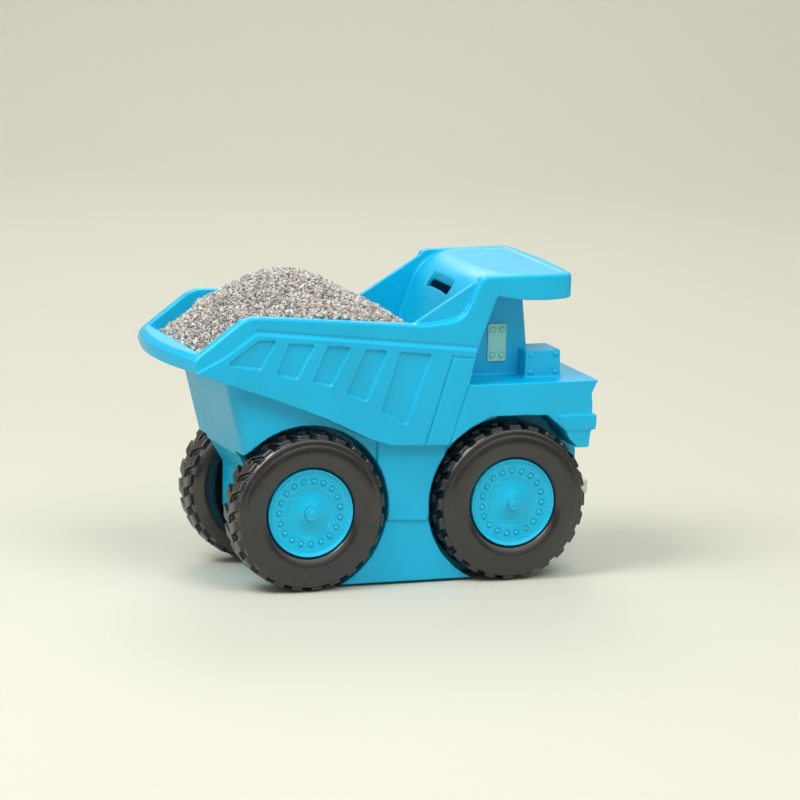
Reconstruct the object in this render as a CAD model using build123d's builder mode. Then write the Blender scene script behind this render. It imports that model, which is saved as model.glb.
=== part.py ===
from build123d import *
import os

# Toy dump truck with a hollow moulded body that serves as a coin bank.
#
# Frame: +X is the driving direction, +Y the truck's left, +Z up. The origin is on the
# ground, below the middle of the overall length and width. Side-view outlines are given
# as (station, height): a station is the distance ahead of the rear axle.

os.makedirs("parts", exist_ok=True)

# ---------------------------------------------------------------- driving dimensions
WHEELBASE = 117.7
WHEEL_D = 88.0
REAR_AXLE_X = -49.0            # puts the middle of the overall length on X = 0
AXLE_Z = WHEEL_D / 2
WALL = 3.0                     # moulded wall of the body

# widths, measured from the middle plane
SLAB_Y = 48.8                  # bed rails, headboard sides and canopy
PANEL_Y = 49.8                 # raised lower side panels
HULL_Y = 42.0                  # hull below the side panels
PILLAR_Y = 43.6                # raised panel between the wheels
WELL_Y = 24.5                  # inner wall of the wheel wells
CAB_Y = 24.0
TUB_Y = 42.5                   # inside of the bed
WING_Y = 45.0                  # outside of the wings beside the headboard

# heights
ROOF_Z = 170.4
ROOF_RECESS = 0.6              # sunk middle of the roof, between its side rims
DECK_Z = 111.0
LIP_BOTTOM_Z = 124.0           # underside of the tail lip
BELLY_Z = 1.6
CHAMBER_FLOOR_Z = 6.4

# headboard: a steep slope between two side wings, bent over into the roof
HEADBOARD_LOW = (79.5, 132.0)  # station, height of a point on the slope, at Y = 0
HEADBOARD_RUN = 0.34           # forward run for each millimetre of rise
HEADBOARD_BEND_R = 24.0        # bend from the slope into the roof
HEADBOARD_BOW_R = 250.0        # gentle bow in plan, fullest in the middle
HEADBOARD_FOOT_Z = 100.0

# running gear
WELL_R = 47.0
AXLE_R = 2.0
RUNNING_GAP = 0.05             # radial clearance of everything that turns
TYRE_IN_Y = 26.0
TYRE_OUT_Y = 51.5
TREAD_R = 41.2
HUB_R = 24.2
HUB_BOSS_R = 5.5
RIVET_RING_R = 17.6
RIVET_COUNT = 19
LUG_COUNT = 24
BUSH_R = 4.5
BUSH_FLANGE_R = 6.5
BUSH_FLANGE = 1.2

# coin slot and stopper
COIN_SLOT = (5.0, 33.0)        # along X and along Y
SLOT_STATION = 90.7
SLOT_BOTTOM_Z = 144.0
STOPPER_STATION = 58.5
STOPPER_NECK_R = 17.0
STOPPER_FLANGE_R = 20.0
STOPPER_RECESS = 1.5


# ---------------------------------------------------------------- helpers
def station(points):
    """Side-view points (station, height) as model points (X, Z)."""
    return [(REAR_AXLE_X + along, height) for along, height in points]


def side_prism(points, y_low, y_high, radius=0.0, rounded=()):
    """A solid with the given side view, between two widths. The outline's corners listed
    in rounded get the given radius."""
    with BuildPart() as prism:
        with BuildSketch(Plane.XZ.offset(-y_low)) as side:
            with BuildLine():
                Polyline(*station(points), close=True)
            make_face()
            if rounded:
                corners = [Vector(x, z) for x, z in station(rounded)]
                fillet([side.vertices().sort_by_distance(corner)[0] for corner in corners], radius)
        extrude(amount=-(y_high - y_low))
    return prism.part


def on_both_sides(solid):
    """The solid and its mirror image across the middle plane."""
    with BuildPart() as pair:
        add(solid)
        mirror(about=Plane.XZ)
    return pair.part


def slope_station(height, setback=0.0):
    """Station of the headboard's slope at a height, moved forward by setback."""
    return HEADBOARD_LOW[0] + setback + (height - HEADBOARD_LOW[1]) * HEADBOARD_RUN


def edges_at(solid, width, above):
    """Edges of a side prism that lie in the plane |Y| = width, above a height."""
    return [
        edge for edge in solid.edges()
        if abs(abs(edge.center().Y) - width) < 0.01 and edge.center().Z > above
    ]


def save(piece, name):
    piece.label = name
    export_step(piece, f"parts/{name}.step")


# ---------------------------------------------------------------- body: outer forms
LOWER_EDGE = [
    (166.1, 110.4), (162.8, 104.0), (163.3, 91.0), (162.6, 82.0), (161.7, 73.0),
    (152.7, 73.0), (147.2, 83.2), (136.6, 92.2), (103.6, 93.0), (91.7, 87.3), (78.9, 77.9),
    (45.4, 79.3), (34.2, 83.0), (8.2, 95.6), (-19.4, 106.5), (-47.7, 116.5), (-67.0, 123.6),
]
ARCH_CORNERS = [(152.7, 73.0), (147.2, 83.2), (103.6, 93.0), (78.9, 77.9), (34.2, 83.0)]
ARCH_CORNER_R = 3.0
DECK_BACK = (90.0, DECK_Z)
BED_AND_FRONT = LOWER_EDGE + [
    (-68.4, 125.5), (-67.4, 130.4), (-64.6, 133.6), (-41.4, 150.9), (-35.7, 152.9),
    (-17.3, 151.9), (48.8, 146.3), (64.0, 144.8), (78.4, 146.4), (83.6, 147.8),
    (86.9, 150.4), (90.0, 155.5), (96.0, 169.2), (98.5, ROOF_Z), (112.0, ROOF_Z),
    (112.0, 162.0), (106.5, 162.0), (95.7, 132.9), DECK_BACK,
]
TOP_ROUNDING = 2.0             # outer top edges of rails, posts and canopy
with BuildPart() as slab:
    add(side_prism(BED_AND_FRONT, -SLAB_Y, SLAB_Y, ARCH_CORNER_R, ARCH_CORNERS))
    top_edges = edges_at(slab, SLAB_Y, LIP_BOTTOM_Z + 9.0)
    canopy_post = [e for e in top_edges if e.center().X > REAR_AXLE_X + 94 and e.center().Z < 169]
    fillet([e for e in top_edges if e not in canopy_post], TOP_ROUNDING)

# the side panels stand proud of the rails, below a rib that runs along the bed
RAISED_SIDE = LOWER_EDGE + [(-56.0, 129.0), (-33.8, 144.5), (94.1, 130.6), DECK_BACK]
RIB_CHAMFER = 1.2
with BuildPart() as side_panels:
    add(side_prism(RAISED_SIDE, -PANEL_Y, PANEL_Y, ARCH_CORNER_R, ARCH_CORNERS))
    chamfer(edges_at(side_panels, PANEL_Y, 130.0), RIB_CHAMFER)

# wings: upright gussets inside the rails, rising from them to the rear corners of the roof
WING = [
    (57.0, 144.6), (96.0, 168.4), (98.5, ROOF_Z), (104.0, ROOF_Z), (104.0, 158.0),
    (100.0, 150.0), (84.0, 140.0), (57.0, 140.0),
]
wings = on_both_sides(side_prism(WING, TUB_Y - 0.5, WING_Y))

# bumper band across the nose
BUMPER = [(142.5, 91.5), (165.6, 91.3), (165.3, 82.9), (147.6, 82.9)]
bumper = side_prism(BUMPER, -PANEL_Y - 0.8, PANEL_Y + 0.8)

# lower hull: sloped rear face with rounded corners, flat belly, upright nose
HULL_REAR = [(-47.0, 118.0), (-35.0, 73.0), (10.0, 73.0), (10.0, 112.0)]
REAR_CORNER_R = 7.0
with BuildPart() as hull_rear:
    add(side_prism(HULL_REAR, -HULL_Y, HULL_Y))
    rear_face = hull_rear.faces().sort_by(Axis.X)[0]
    fillet([e for e in rear_face.edges() if abs(e.center().Y) > HULL_Y - 1], REAR_CORNER_R)

# keel between the wheels, with its flat underside, and the wider belly behind the pillars
KEEL = [
    (-34.5, 73.5), (-26.0, 60.0), (-25.5, 36.0), (-21.5, 22.0), (-12.0, 7.0),
    (-4.0, BELLY_Z), (128.0, BELLY_Z), (138.0, 6.0), (151.0, 17.0), (161.0, 29.0),
    (164.5, 40.0), (164.5, 80.0), (150.0, 105.0), (0.0, 112.0), (0.0, 73.5),
]
keel = side_prism(KEEL, -WELL_Y, WELL_Y)
BELLY = [(0.0, BELLY_Z), (110.0, BELLY_Z), (110.0, 100.0), (60.0, 108.0), (0.0, 112.0)]
belly = side_prism(BELLY, -HULL_Y, HULL_Y)

PILLAR = [(40.0, 81.0), (40.0, 37.0), (69.8, 35.1), (76.5, 54.9), (81.0, 80.5)]
pillar_panels = side_prism(PILLAR, -PILLAR_Y, PILLAR_Y)

# the tail lip and the canopy are bowed in plan
LIP_BOW_X = REAR_AXLE_X - 75.0
LIP_END_X = REAR_AXLE_X - 68.0
LIP_INNER_X = LIP_END_X + 16.0
LIP_HALF_Y = SLAB_Y - 2.0
LIP_HEIGHT = 9.6
with BuildPart() as tail_lip:
    with BuildSketch(Plane.XY.offset(LIP_BOTTOM_Z)):
        with BuildLine():
            ThreePointArc((LIP_END_X, -LIP_HALF_Y), (LIP_BOW_X, 0), (LIP_END_X, LIP_HALF_Y))
            Polyline(
                (LIP_END_X, LIP_HALF_Y), (LIP_INNER_X, LIP_HALF_Y),
                (LIP_INNER_X, -LIP_HALF_Y), (LIP_END_X, -LIP_HALF_Y),
            )
        make_face()
    extrude(amount=LIP_HEIGHT)
    chamfer(tail_lip.faces().sort_by(Axis.X)[0].edges().sort_by(Axis.Z)[-1], 3.0)

CANOPY_FRONT_X = REAR_AXLE_X + 149.5
CANOPY_BOW_X = REAR_AXLE_X + 152.5
CANOPY_BACK_X = REAR_AXLE_X + 103.5
CANOPY_NOSE_X = REAR_AXLE_X + 160.0
CANOPY_CORNER_R = 5.0
with BuildPart() as canopy:
    with BuildSketch(Plane.XZ.offset(-SLAB_Y)):
        with BuildLine():
            ThreePointArc(
                (CANOPY_BACK_X, 159.8), (REAR_AXLE_X + 131.0, 156.0), (CANOPY_NOSE_X, 159.0),
            )
            Polyline(
                (CANOPY_NOSE_X, 159.0), (CANOPY_NOSE_X, ROOF_Z), (CANOPY_BACK_X, ROOF_Z),
                (CANOPY_BACK_X, 159.8),
            )
        make_face()
    extrude(amount=2 * SLAB_Y)
    with BuildSketch(Plane.XY.offset(150)) as canopy_plan:
        with BuildLine():
            ThreePointArc((CANOPY_FRONT_X, -SLAB_Y), (CANOPY_BOW_X, 0), (CANOPY_FRONT_X, SLAB_Y))
            Polyline(
                (CANOPY_FRONT_X, SLAB_Y), (CANOPY_BACK_X, SLAB_Y),
                (CANOPY_BACK_X, -SLAB_Y), (CANOPY_FRONT_X, -SLAB_Y),
            )
        make_face()
        fillet(canopy_plan.vertices().group_by(Axis.X)[-1], CANOPY_CORNER_R)
    extrude(amount=30, mode=Mode.INTERSECT)
    roof_edges = canopy.faces().sort_by(Axis.Z)[-1].edges()
    fillet([e for e in roof_edges if e.center().X > CANOPY_BACK_X + 1], TOP_ROUNDING)

# cab behind the canopy's overhang, and the tool box on the deck beside it
CAB = [(96.0, 105.0), (136.2, 105.0), (130.4, 160.0), (96.0, 160.0)]
CAB_CORNER_R = 3.0
with BuildPart() as cab:
    add(side_prism(CAB, -CAB_Y, CAB_Y))
    cab_front = cab.faces().sort_by(Axis.X)[-1]
    fillet([e for e in cab_front.edges() if abs(e.center().Y) > CAB_Y - 1], CAB_CORNER_R)

DECK_BOX_HEIGHT = 14.9
DECK_BOX_CENTRE = (REAR_AXLE_X + 138.6, -25.2)
DECK_BOX_SIZE = (21.4, 21.8)
BOX_RIVET_R = 1.1
with BuildPart() as deck_box:
    with BuildSketch(Plane.XY.offset(DECK_Z - 2)):
        with Locations(DECK_BOX_CENTRE):
            Rectangle(*DECK_BOX_SIZE)
    extrude(amount=DECK_BOX_HEIGHT + 2, taper=1.5)
    box_side_plane = Plane(
        origin=(DECK_BOX_CENTRE[0], DECK_BOX_CENTRE[1] - DECK_BOX_SIZE[1] / 2 + 0.6,
                DECK_Z + DECK_BOX_HEIGHT / 2),
        x_dir=(1, 0, 0), z_dir=(0, -1, 0),
    )
    with BuildSketch(box_side_plane):
        with GridLocations(14.6, 9.6, 2, 2):
            Circle(BOX_RIVET_R)
    extrude(amount=0.75)

# ---------------------------------------------------------------- body: hollows
HEADBOARD_FRONT = 150.0


def headboard(gap):
    """The bowed headboard with its bend into the sunk roof, enlarged by gap to the rear."""
    roof_z = ROOF_Z - ROOF_RECESS
    axis_x = REAR_AXLE_X + HEADBOARD_LOW[0] + HEADBOARD_BOW_R
    bend = (slope_station(roof_z, -gap), roof_z)
    outline = [
        (slope_station(HEADBOARD_FOOT_Z, -gap), HEADBOARD_FOOT_Z), bend,
        (HEADBOARD_FRONT, roof_z), (HEADBOARD_FRONT, HEADBOARD_FOOT_Z),
    ]
    with BuildPart() as board:
        with BuildSketch(Plane.XZ) as side:
            with BuildLine():
                Polyline(*station(outline), close=True)
            make_face()
            bend_corner = Vector(REAR_AXLE_X + bend[0], roof_z)
            fillet(side.vertices().sort_by_distance(bend_corner)[0], HEADBOARD_BEND_R)
        revolve(axis=Axis((axis_x, 0, 0), (0, 0, 1)), revolution_arc=15)
        mirror(about=Plane.XZ)
    return board.part


def bed_space(gap):
    """The space inside the bed and over the sunk roof, shrunk by gap from floor and sides."""
    space_outline = [
        (-64.0 + gap, 200), (-64.0 + gap, 134.0 + gap), (-58.0, 130.3 + gap),
        (-20.0, 120.0 + gap), (60.0, 112.0 + gap), (146.0, 112.0 + gap), (146.0, 200),
    ]
    return side_prism(space_outline, -TUB_Y + gap, TUB_Y - gap)


with BuildPart() as tub:
    add(bed_space(0))
    add(headboard(0), mode=Mode.SUBTRACT)

# the part of the headboard that bulges towards the bed between the posts
HEADBOARD_BULGE = [
    (70.0, 130.0), (70.0, 175.0), (112.0, 175.0), (112.0, 164.0), (104.0, 160.0), (92.0, 130.0),
]
with BuildPart() as headboard_bulge:
    add(side_prism(HEADBOARD_BULGE, -TUB_Y - 0.5, TUB_Y + 0.5))
    add(headboard(0), mode=Mode.INTERSECT)


def wheel_space(radius, y_inner):
    """Round pockets around the four wheels, outboard of y_inner."""
    with BuildPart() as spaces:
        with BuildSketch(Plane.XZ.offset(y_inner)):
            with Locations((REAR_AXLE_X, AXLE_Z), (REAR_AXLE_X + WHEELBASE, AXLE_Z)):
                Circle(radius)
        extrude(amount=60 - y_inner)
    return on_both_sides(spaces.part)


# recessed windows of the side panels, leaning with the bed
WINDOW_DEPTH = 1.6
WINDOW_CORNER_R = 1.2
WINDOWS = [
    [(-50.0, 127.7), (-31.6, 140.4), (-21.6, 140.0), (-30.7, 124.4)],
    [(-21.5, 121.1), (-14.7, 138.0), (0.3, 136.7), (-9.7, 118.3)],
    [(-0.5, 116.5), (7.6, 135.7), (21.0, 134.5), (10.0, 113.6)],
    [(18.9, 109.2), (29.6, 132.9), (42.1, 131.8), (30.4, 104.3)],
    [(39.4, 98.6), (49.5, 130.7), (67.7, 129.0), (53.4, 90.0)],
]
# narrow grooves between the bed, its front post and the fender
GROOVE_DEPTH = 0.8
GROOVES = [
    [(79.6, 127.6), (80.8, 127.6), (65.5, 77.0), (64.3, 77.0)],
    [(80.0, 127.2), (80.0, 126.2), (95.0, 124.8), (95.0, 125.8)],
    [(89.4, 112.0), (90.6, 112.0), (79.9, 77.0), (78.7, 77.0)],
]
with BuildPart() as side_recesses:
    for window in WINDOWS:
        add(side_prism(window, PANEL_Y - WINDOW_DEPTH, PANEL_Y + 1, WINDOW_CORNER_R, window))
    for groove in GROOVES:
        add(side_prism(groove, PANEL_Y - GROOVE_DEPTH, PANEL_Y + 1))
    mirror(about=Plane.XZ)

# coin chamber: the inside of the hull, fenders, headboard posts, cab and canopy
CHAMBER_Y = HULL_Y - WALL
HULL_INSIDE = [
    (-41.5, 119.0), (-31.0, 76.0), (-22.5, 62.0), (-22.0, 37.0), (-18.5, 24.5),
    (-10.0, 11.0), (-3.0, CHAMBER_FLOOR_Z), (127.0, CHAMBER_FLOOR_Z), (136.0, 10.0),
    (148.0, 20.5), (157.5, 31.5), (161.0, 41.0), (161.0, 79.0), (158.5, 86.0),
    (160.0, 104.0), (160.0, 107.0), (62.0, 107.0), (-20.0, 116.0),
]
FENDER_INSIDE = [
    (60.0, 106.0), (60.0, 84.0), (76.0, 82.5), (90.0, 91.5), (102.0, 97.0),
    (138.0, 96.3), (150.0, 87.5), (158.0, 87.0), (159.5, 100.0), (160.0, 107.0),
]
POST_INSIDE = [
    (slope_station(106, 7.0), 106.0), (slope_station(150, 7.2), 150.0), (99.0, 150.0),
    (92.4, 132.9), (86.6, 112.0), (86.6, 106.0),
]
CAB_CEILING = (slope_station(166.2, 4.2), 166.2)
CAB_INSIDE = [
    (slope_station(105, 4.2), 105.0), CAB_CEILING, (127.0, 166.2), (127.0, 158.0),
    (132.6, 105.0),
]
CANOPY_INSIDE = [
    (107.5, 162.6), (113.0, 161.6), (125.0, 160.4), (146.0, 160.4), (146.0, 166.8),
    (114.0, 166.8), (107.5, 164.6),
]
SIDE_INNER_Y = SLAB_Y - WALL
with BuildPart() as coin_chamber:
    add(side_prism(HULL_INSIDE, -CHAMBER_Y, CHAMBER_Y))
    add(side_prism(FENDER_INSIDE, -SIDE_INNER_Y, SIDE_INNER_Y))
    add(side_prism(POST_INSIDE, -SIDE_INNER_Y, SIDE_INNER_Y))
    add(wheel_space(WELL_R + WALL, WELL_Y - WALL), mode=Mode.SUBTRACT)
    add(side_prism(CAB_INSIDE, -CAB_Y + WALL, CAB_Y - WALL, HEADBOARD_BEND_R - 4, [CAB_CEILING]))
    add(side_prism(CANOPY_INSIDE, -SIDE_INNER_Y, SIDE_INNER_Y))

# ---------------------------------------------------------------- body shell
SLOT_X = REAR_AXLE_X + SLOT_STATION
STOPPER_X = REAR_AXLE_X + STOPPER_STATION
with BuildPart() as body_shell:
    add(slab.part)
    add(side_panels.part)
    add(wings)
    add(headboard_bulge.part)
    add(bumper)
    add(hull_rear.part)
    add(keel)
    add(belly)
    add(pillar_panels)
    add(tail_lip.part)
    add(canopy.part)
    add(cab.part)
    add(deck_box.part)
    add(tub.part, mode=Mode.SUBTRACT)
    add(wheel_space(WELL_R, WELL_Y), mode=Mode.SUBTRACT)
    add(side_recesses.part, mode=Mode.SUBTRACT)
    add(coin_chamber.part, mode=Mode.SUBTRACT)
    # coin slot, cut straight down through the bend of the headboard
    with BuildSketch(Plane.XY.offset(SLOT_BOTTOM_Z)) as slot_plan:
        with Locations((SLOT_X, 0)):
            Rectangle(*COIN_SLOT)
        fillet(slot_plan.vertices(), 1.2)
    extrude(amount=ROOF_Z - SLOT_BOTTOM_Z, mode=Mode.SUBTRACT)
    # stopper hole with a shallow recess for its flange
    with BuildSketch(Plane.XY):
        with Locations((STOPPER_X, 0)):
            Circle(STOPPER_FLANGE_R + 0.5)
    extrude(amount=BELLY_Z + STOPPER_RECESS, mode=Mode.SUBTRACT)
    with BuildSketch(Plane.XY):
        with Locations((STOPPER_X, 0)):
            Circle(STOPPER_NECK_R + RUNNING_GAP)
    extrude(amount=CHAMBER_FLOOR_Z + 1, mode=Mode.SUBTRACT)
    # bores for the axle bushes
    with BuildSketch(Plane.XZ.offset(-60)):
        with Locations((REAR_AXLE_X, AXLE_Z), (REAR_AXLE_X + WHEELBASE, AXLE_Z)):
            Circle(BUSH_R)
    extrude(amount=120, mode=Mode.SUBTRACT)
save(body_shell.part, "body_shell")

# ---------------------------------------------------------------- gravel load
# (height, station of the middle, half length, half width, corner radius) of level outlines
HEAP_LEVELS = [
    (110.0, 6.0, 85.0, 85.0, 50.0), (131.0, 6.0, 68.0, 68.0, 50.0),
    (136.0, 6.0, 63.0, 62.0, 50.0), (142.0, 4.5, 56.5, 55.0, 50.0),
    (149.0, 2.2, 47.3, 47.0, 40.0), (155.0, 0.2, 37.8, 34.0, 32.0),
    (160.0, -1.0, 29.0, 24.0, 22.0), (165.0, -2.0, 20.0, 15.5, 14.0),
    (168.0, -2.0, 12.0, 9.0, 8.0), (169.6, -2.5, 4.0, 3.0, 2.5),
]
GLUE_GAP = 0.1
with BuildPart() as gravel_load:
    for height, middle, half_length, half_width, corner_r in HEAP_LEVELS:
        with BuildSketch(Plane.XY.offset(height)):
            with Locations((REAR_AXLE_X + middle, 0)):
                RectangleRounded(2 * half_length, 2 * half_width, corner_r)
    loft(ruled=True)
    add(bed_space(GLUE_GAP), mode=Mode.INTERSECT)
    add(headboard(GLUE_GAP), mode=Mode.SUBTRACT)
save(gravel_load.part, "gravel_load")

# ---------------------------------------------------------------- trim on the body
PLATE_SIZE = (10.8, 21.2)
PLATE_STATION = 115.3
PLATE_Z = 129.1
PLATE_THICKNESS = 1.2
PLATE_RIVET_R = 1.6
PLATE_RIVET_PITCH = (5.6, 14.6)
TRIM_GAP = 0.02
plate_plane = Plane(
    origin=(REAR_AXLE_X + PLATE_STATION, -CAB_Y - TRIM_GAP, PLATE_Z),
    x_dir=(1, 0, 0), z_dir=(0, -1, 0),
)
with BuildPart() as cab_plate_right:
    with BuildSketch(plate_plane) as plate_outline:
        Rectangle(*PLATE_SIZE)
        fillet(plate_outline.vertices(), 1.0)
    extrude(amount=PLATE_THICKNESS)
    with BuildSketch(plate_plane.offset(PLATE_THICKNESS)):
        with GridLocations(*PLATE_RIVET_PITCH, 2, 2):
            Circle(PLATE_RIVET_R)
    extrude(amount=0.6)
    rivet_rims = cab_plate_right.faces().sort_by(Axis.Y)[:4].edges()
    fillet(rivet_rims, 0.4)
with BuildPart() as cab_plate_left:
    mirror(cab_plate_right.part, about=Plane.XZ)
save(cab_plate_right.part, "cab_plate_right")
save(cab_plate_left.part, "cab_plate_left")

HEADLIGHT_SIZE = (7.6, 8.6)
HEADLIGHT_DEPTH = 8.5
HEADLIGHT_Z = 45.0
HEADLIGHT_Y = 19.8
NOSE_X = REAR_AXLE_X + 164.5
headlight_plane = Plane(
    origin=(NOSE_X + TRIM_GAP, -HEADLIGHT_Y, HEADLIGHT_Z), x_dir=(0, 1, 0), z_dir=(1, 0, 0),
)
with BuildPart() as headlight_right:
    with BuildSketch(headlight_plane) as lamp_outline:
        Rectangle(*HEADLIGHT_SIZE)
        fillet(lamp_outline.vertices(), 2.0)
    extrude(amount=HEADLIGHT_DEPTH)
    fillet(headlight_right.faces().sort_by(Axis.X)[-1].edges(), 1.5)
with BuildPart() as headlight_left:
    mirror(headlight_right.part, about=Plane.XZ)
save(headlight_right.part, "headlight_right")
save(headlight_left.part, "headlight_left")

# grille: a backing strip with upright bars on the nose, under the deck's lip
GRILLE_X = REAR_AXLE_X + 163.3
GRILLE_SIZE = (84.0, 8.0)
GRILLE_Z = 98.2
GRILLE_BARS = 12
with BuildPart() as nose_grille:
    grille_plane = Plane(
        origin=(GRILLE_X + 0.1, 0, GRILLE_Z), x_dir=(0, 1, 0), z_dir=(1, 0, 0),
    )
    with BuildSketch(grille_plane):
        Rectangle(*GRILLE_SIZE)
    extrude(amount=1.2)
    with BuildSketch(grille_plane.offset(1.2)):
        with GridLocations(GRILLE_SIZE[0] / GRILLE_BARS, 1, GRILLE_BARS, 1):
            Rectangle(3.4, GRILLE_SIZE[1] - 1.6)
    extrude(amount=1.4)
save(nose_grille.part, "nose_grille")

# ---------------------------------------------------------------- axles and bushes
AXLE_HALF = 50.6
BUSH_IN_Y = 19.0


def axle(name, along):
    """A plain steel rod through the body, its ends chamfered."""
    with BuildPart() as rod:
        with BuildSketch(Plane.XZ.offset(-AXLE_HALF)):
            with Locations((REAR_AXLE_X + along, AXLE_Z)):
                Circle(AXLE_R)
        extrude(amount=2 * AXLE_HALF)
        chamfer(rod.edges().filter_by(GeomType.CIRCLE), 0.4)
    save(rod.part, name)


axle("rear_axle", 0.0)
axle("front_axle", WHEELBASE)

# one bush, in the right-hand wheel well, modelled about the axle line at the origin
with BuildPart() as bush:
    with BuildSketch(Plane.XZ.offset(BUSH_IN_Y)):
        Circle(BUSH_R - TRIM_GAP)
    extrude(amount=WELL_Y + 0.02 - BUSH_IN_Y)
    with BuildSketch(Plane.XZ.offset(WELL_Y + 0.02)):
        Circle(BUSH_FLANGE_R)
    extrude(amount=BUSH_FLANGE)
    with BuildSketch(Plane.XZ.offset(BUSH_IN_Y)):
        Circle(AXLE_R + TRIM_GAP)
    extrude(amount=20, mode=Mode.SUBTRACT)
    chamfer(bush.edges().filter_by(GeomType.CIRCLE).sort_by(Axis.Y)[:1], 0.3)

# ---------------------------------------------------------------- wheel
# Right-hand wheel, modelled about the axle line at the origin. Profiles are (width, radius).
BUSH_FACE_Y = WELL_Y + BUSH_FLANGE + 0.02
TYRE_SECTION = [
    (47.6, HUB_R + 0.05), (49.4, HUB_R + 0.8), (TYRE_OUT_Y, 30.5), (TYRE_OUT_Y, 34.0),
    (50.4, 38.6), (48.2, TREAD_R), (29.3, TREAD_R), (27.2, 39.0), (TYRE_IN_Y, 35.5),
    (TYRE_IN_Y, 31.0), (28.2, 24.0), (29.0, HUB_BOSS_R + 2.5), (32.0, HUB_BOSS_R + 2.5),
    (33.0, HUB_R + 0.05),
]
TREAD_MIDDLE_Y = (TYRE_IN_Y + TYRE_OUT_Y) / 2
LUG_ROOT_R = 39.4
LUG_TOP_R = 43.6
LUG_WIDTH = 6.2                # along the tread
LUG_LENGTH = 11.7              # from the tread's middle to its shoulder
LUG_LEAN = 5.4
with BuildPart() as lug:
    with BuildSketch(Plane.XY.offset(LUG_ROOT_R)):
        with BuildLine():
            Polyline(
                ((LUG_WIDTH - LUG_LEAN) / 2, -TREAD_MIDDLE_Y),
                ((-LUG_WIDTH - LUG_LEAN) / 2, -TREAD_MIDDLE_Y),
                ((LUG_LEAN - LUG_WIDTH) / 2, -TREAD_MIDDLE_Y - LUG_LENGTH),
                ((LUG_LEAN + LUG_WIDTH) / 2, -TREAD_MIDDLE_Y - LUG_LENGTH), close=True,
            )
        make_face()
    extrude(amount=LUG_TOP_R - LUG_ROOT_R, taper=4)
with BuildPart() as inner_lug:
    mirror(lug.part, about=Plane.XZ.offset(TREAD_MIDDLE_Y))

LUG_PITCH = 360 / LUG_COUNT
with BuildPart() as tyre:
    with BuildSketch(Plane.YZ) as tyre_section:
        with BuildLine():
            Polyline(*[(-width, radius) for width, radius in TYRE_SECTION], close=True)
        make_face()
    revolve(axis=Axis.Y)
    with Locations(*[Location((0, 0, 0), (0, n * LUG_PITCH, 0)) for n in range(LUG_COUNT)]):
        add(lug.part)
    with Locations(*[Location((0, 0, 0), (0, (n + 0.5) * LUG_PITCH, 0)) for n in range(LUG_COUNT)]):
        add(inner_lug.part)

RIVET_FACE_Y = 47.6
HUB_FACE_Y = 49.6
HUB_SECTION = [
    (HUB_FACE_Y, AXLE_R + RUNNING_GAP), (HUB_FACE_Y, 4.7), (48.2, 8.5), (47.0, 12.6),
    (RIVET_FACE_Y, 14.6), (RIVET_FACE_Y, 20.4), (48.6, 22.4), (HUB_FACE_Y, 23.4),
    (HUB_FACE_Y, HUB_R), (43.5, HUB_R), (43.5, 22.4), (45.4, 20.6), (45.0, HUB_BOSS_R + 2),
    (43.0, HUB_BOSS_R), (BUSH_FACE_Y + 0.3, HUB_BOSS_R), (BUSH_FACE_Y + 0.3, AXLE_R + RUNNING_GAP),
]
with BuildPart() as hub:
    with BuildSketch(Plane.YZ):
        with BuildLine():
            Polyline(*[(-width, radius) for width, radius in HUB_SECTION], close=True)
        make_face()
    revolve(axis=Axis.Y)
    with BuildSketch(Plane.XZ.offset(RIVET_FACE_Y)):
        with PolarLocations(RIVET_RING_R, RIVET_COUNT, start_angle=90):
            Circle(1.55)
    extrude(amount=0.8, taper=20)

# domed cap pressed on the axle's end
CAP_SECTION = [
    (49.95, AXLE_R + TRIM_GAP), (49.95, 3.8), (50.9, 3.8), (51.1, 3.5), (51.1, 2.7),
    (51.4, 2.2), (51.5, 0.0), (AXLE_HALF + 0.1, 0.0), (AXLE_HALF + 0.1, AXLE_R + TRIM_GAP),
]
with BuildPart() as axle_cap:
    with BuildSketch(Plane.YZ):
        with BuildLine():
            Polyline(*[(-width, radius) for width, radius in CAP_SECTION], close=True)
        make_face()
    revolve(axis=Axis.Y)

# the four wheel places; each wheel stands at its own angle
WHEEL_PIECES = {"tyre": tyre, "hub": hub, "axle_cap": axle_cap, "axle_bush": bush}
WHEEL_PLACES = {
    "front_right": (WHEELBASE, -1.5), "front_left": (WHEELBASE, 7.0),
    "rear_right": (0.0, 6.0), "rear_left": (0.0, -4.0),
}
for place, (along, angle) in WHEEL_PLACES.items():
    for kind, piece in WHEEL_PIECES.items():
        turned = Pos(REAR_AXLE_X + along, 0, AXLE_Z) * Rot(0, angle, 0) * piece.part
        if place.endswith("left"):
            turned = mirror(turned, about=Plane.XZ)
        save(turned, f"{kind}_{place}")

# ---------------------------------------------------------------- coin stopper
STOPPER_SECTION = [
    (0.0, BELLY_Z + 0.9), (7.5, BELLY_Z + 0.9), (8.5, BELLY_Z + 0.1),
    (STOPPER_FLANGE_R, BELLY_Z + 0.1), (STOPPER_FLANGE_R, BELLY_Z + STOPPER_RECESS - 0.05),
    (STOPPER_NECK_R, BELLY_Z + STOPPER_RECESS - 0.05), (STOPPER_NECK_R, 7.4),
    (STOPPER_NECK_R - 0.8, 8.4), (14.2, 8.4), (13.6, 4.4), (0.0, 4.4),
]
with BuildPart() as coin_stopper:
    with BuildSketch(Plane.XZ):
        with BuildLine():
            Polyline(*STOPPER_SECTION, close=True)
        make_face()
    revolve(axis=Axis.Z)
save(Pos(STOPPER_X, 0, 0) * coin_stopper.part, "coin_stopper")
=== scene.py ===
"""Looks of a toy dump truck coin bank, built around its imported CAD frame.

The moulded body is remeshed from its CAD node so that every edge is soft, the load is a heap of
separate small stones, and the wheels are modelled again with rounded rubber and a dished hub.
Lengths are given in millimetres in the named values and turned into metres with MM.
"""
import math

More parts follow.
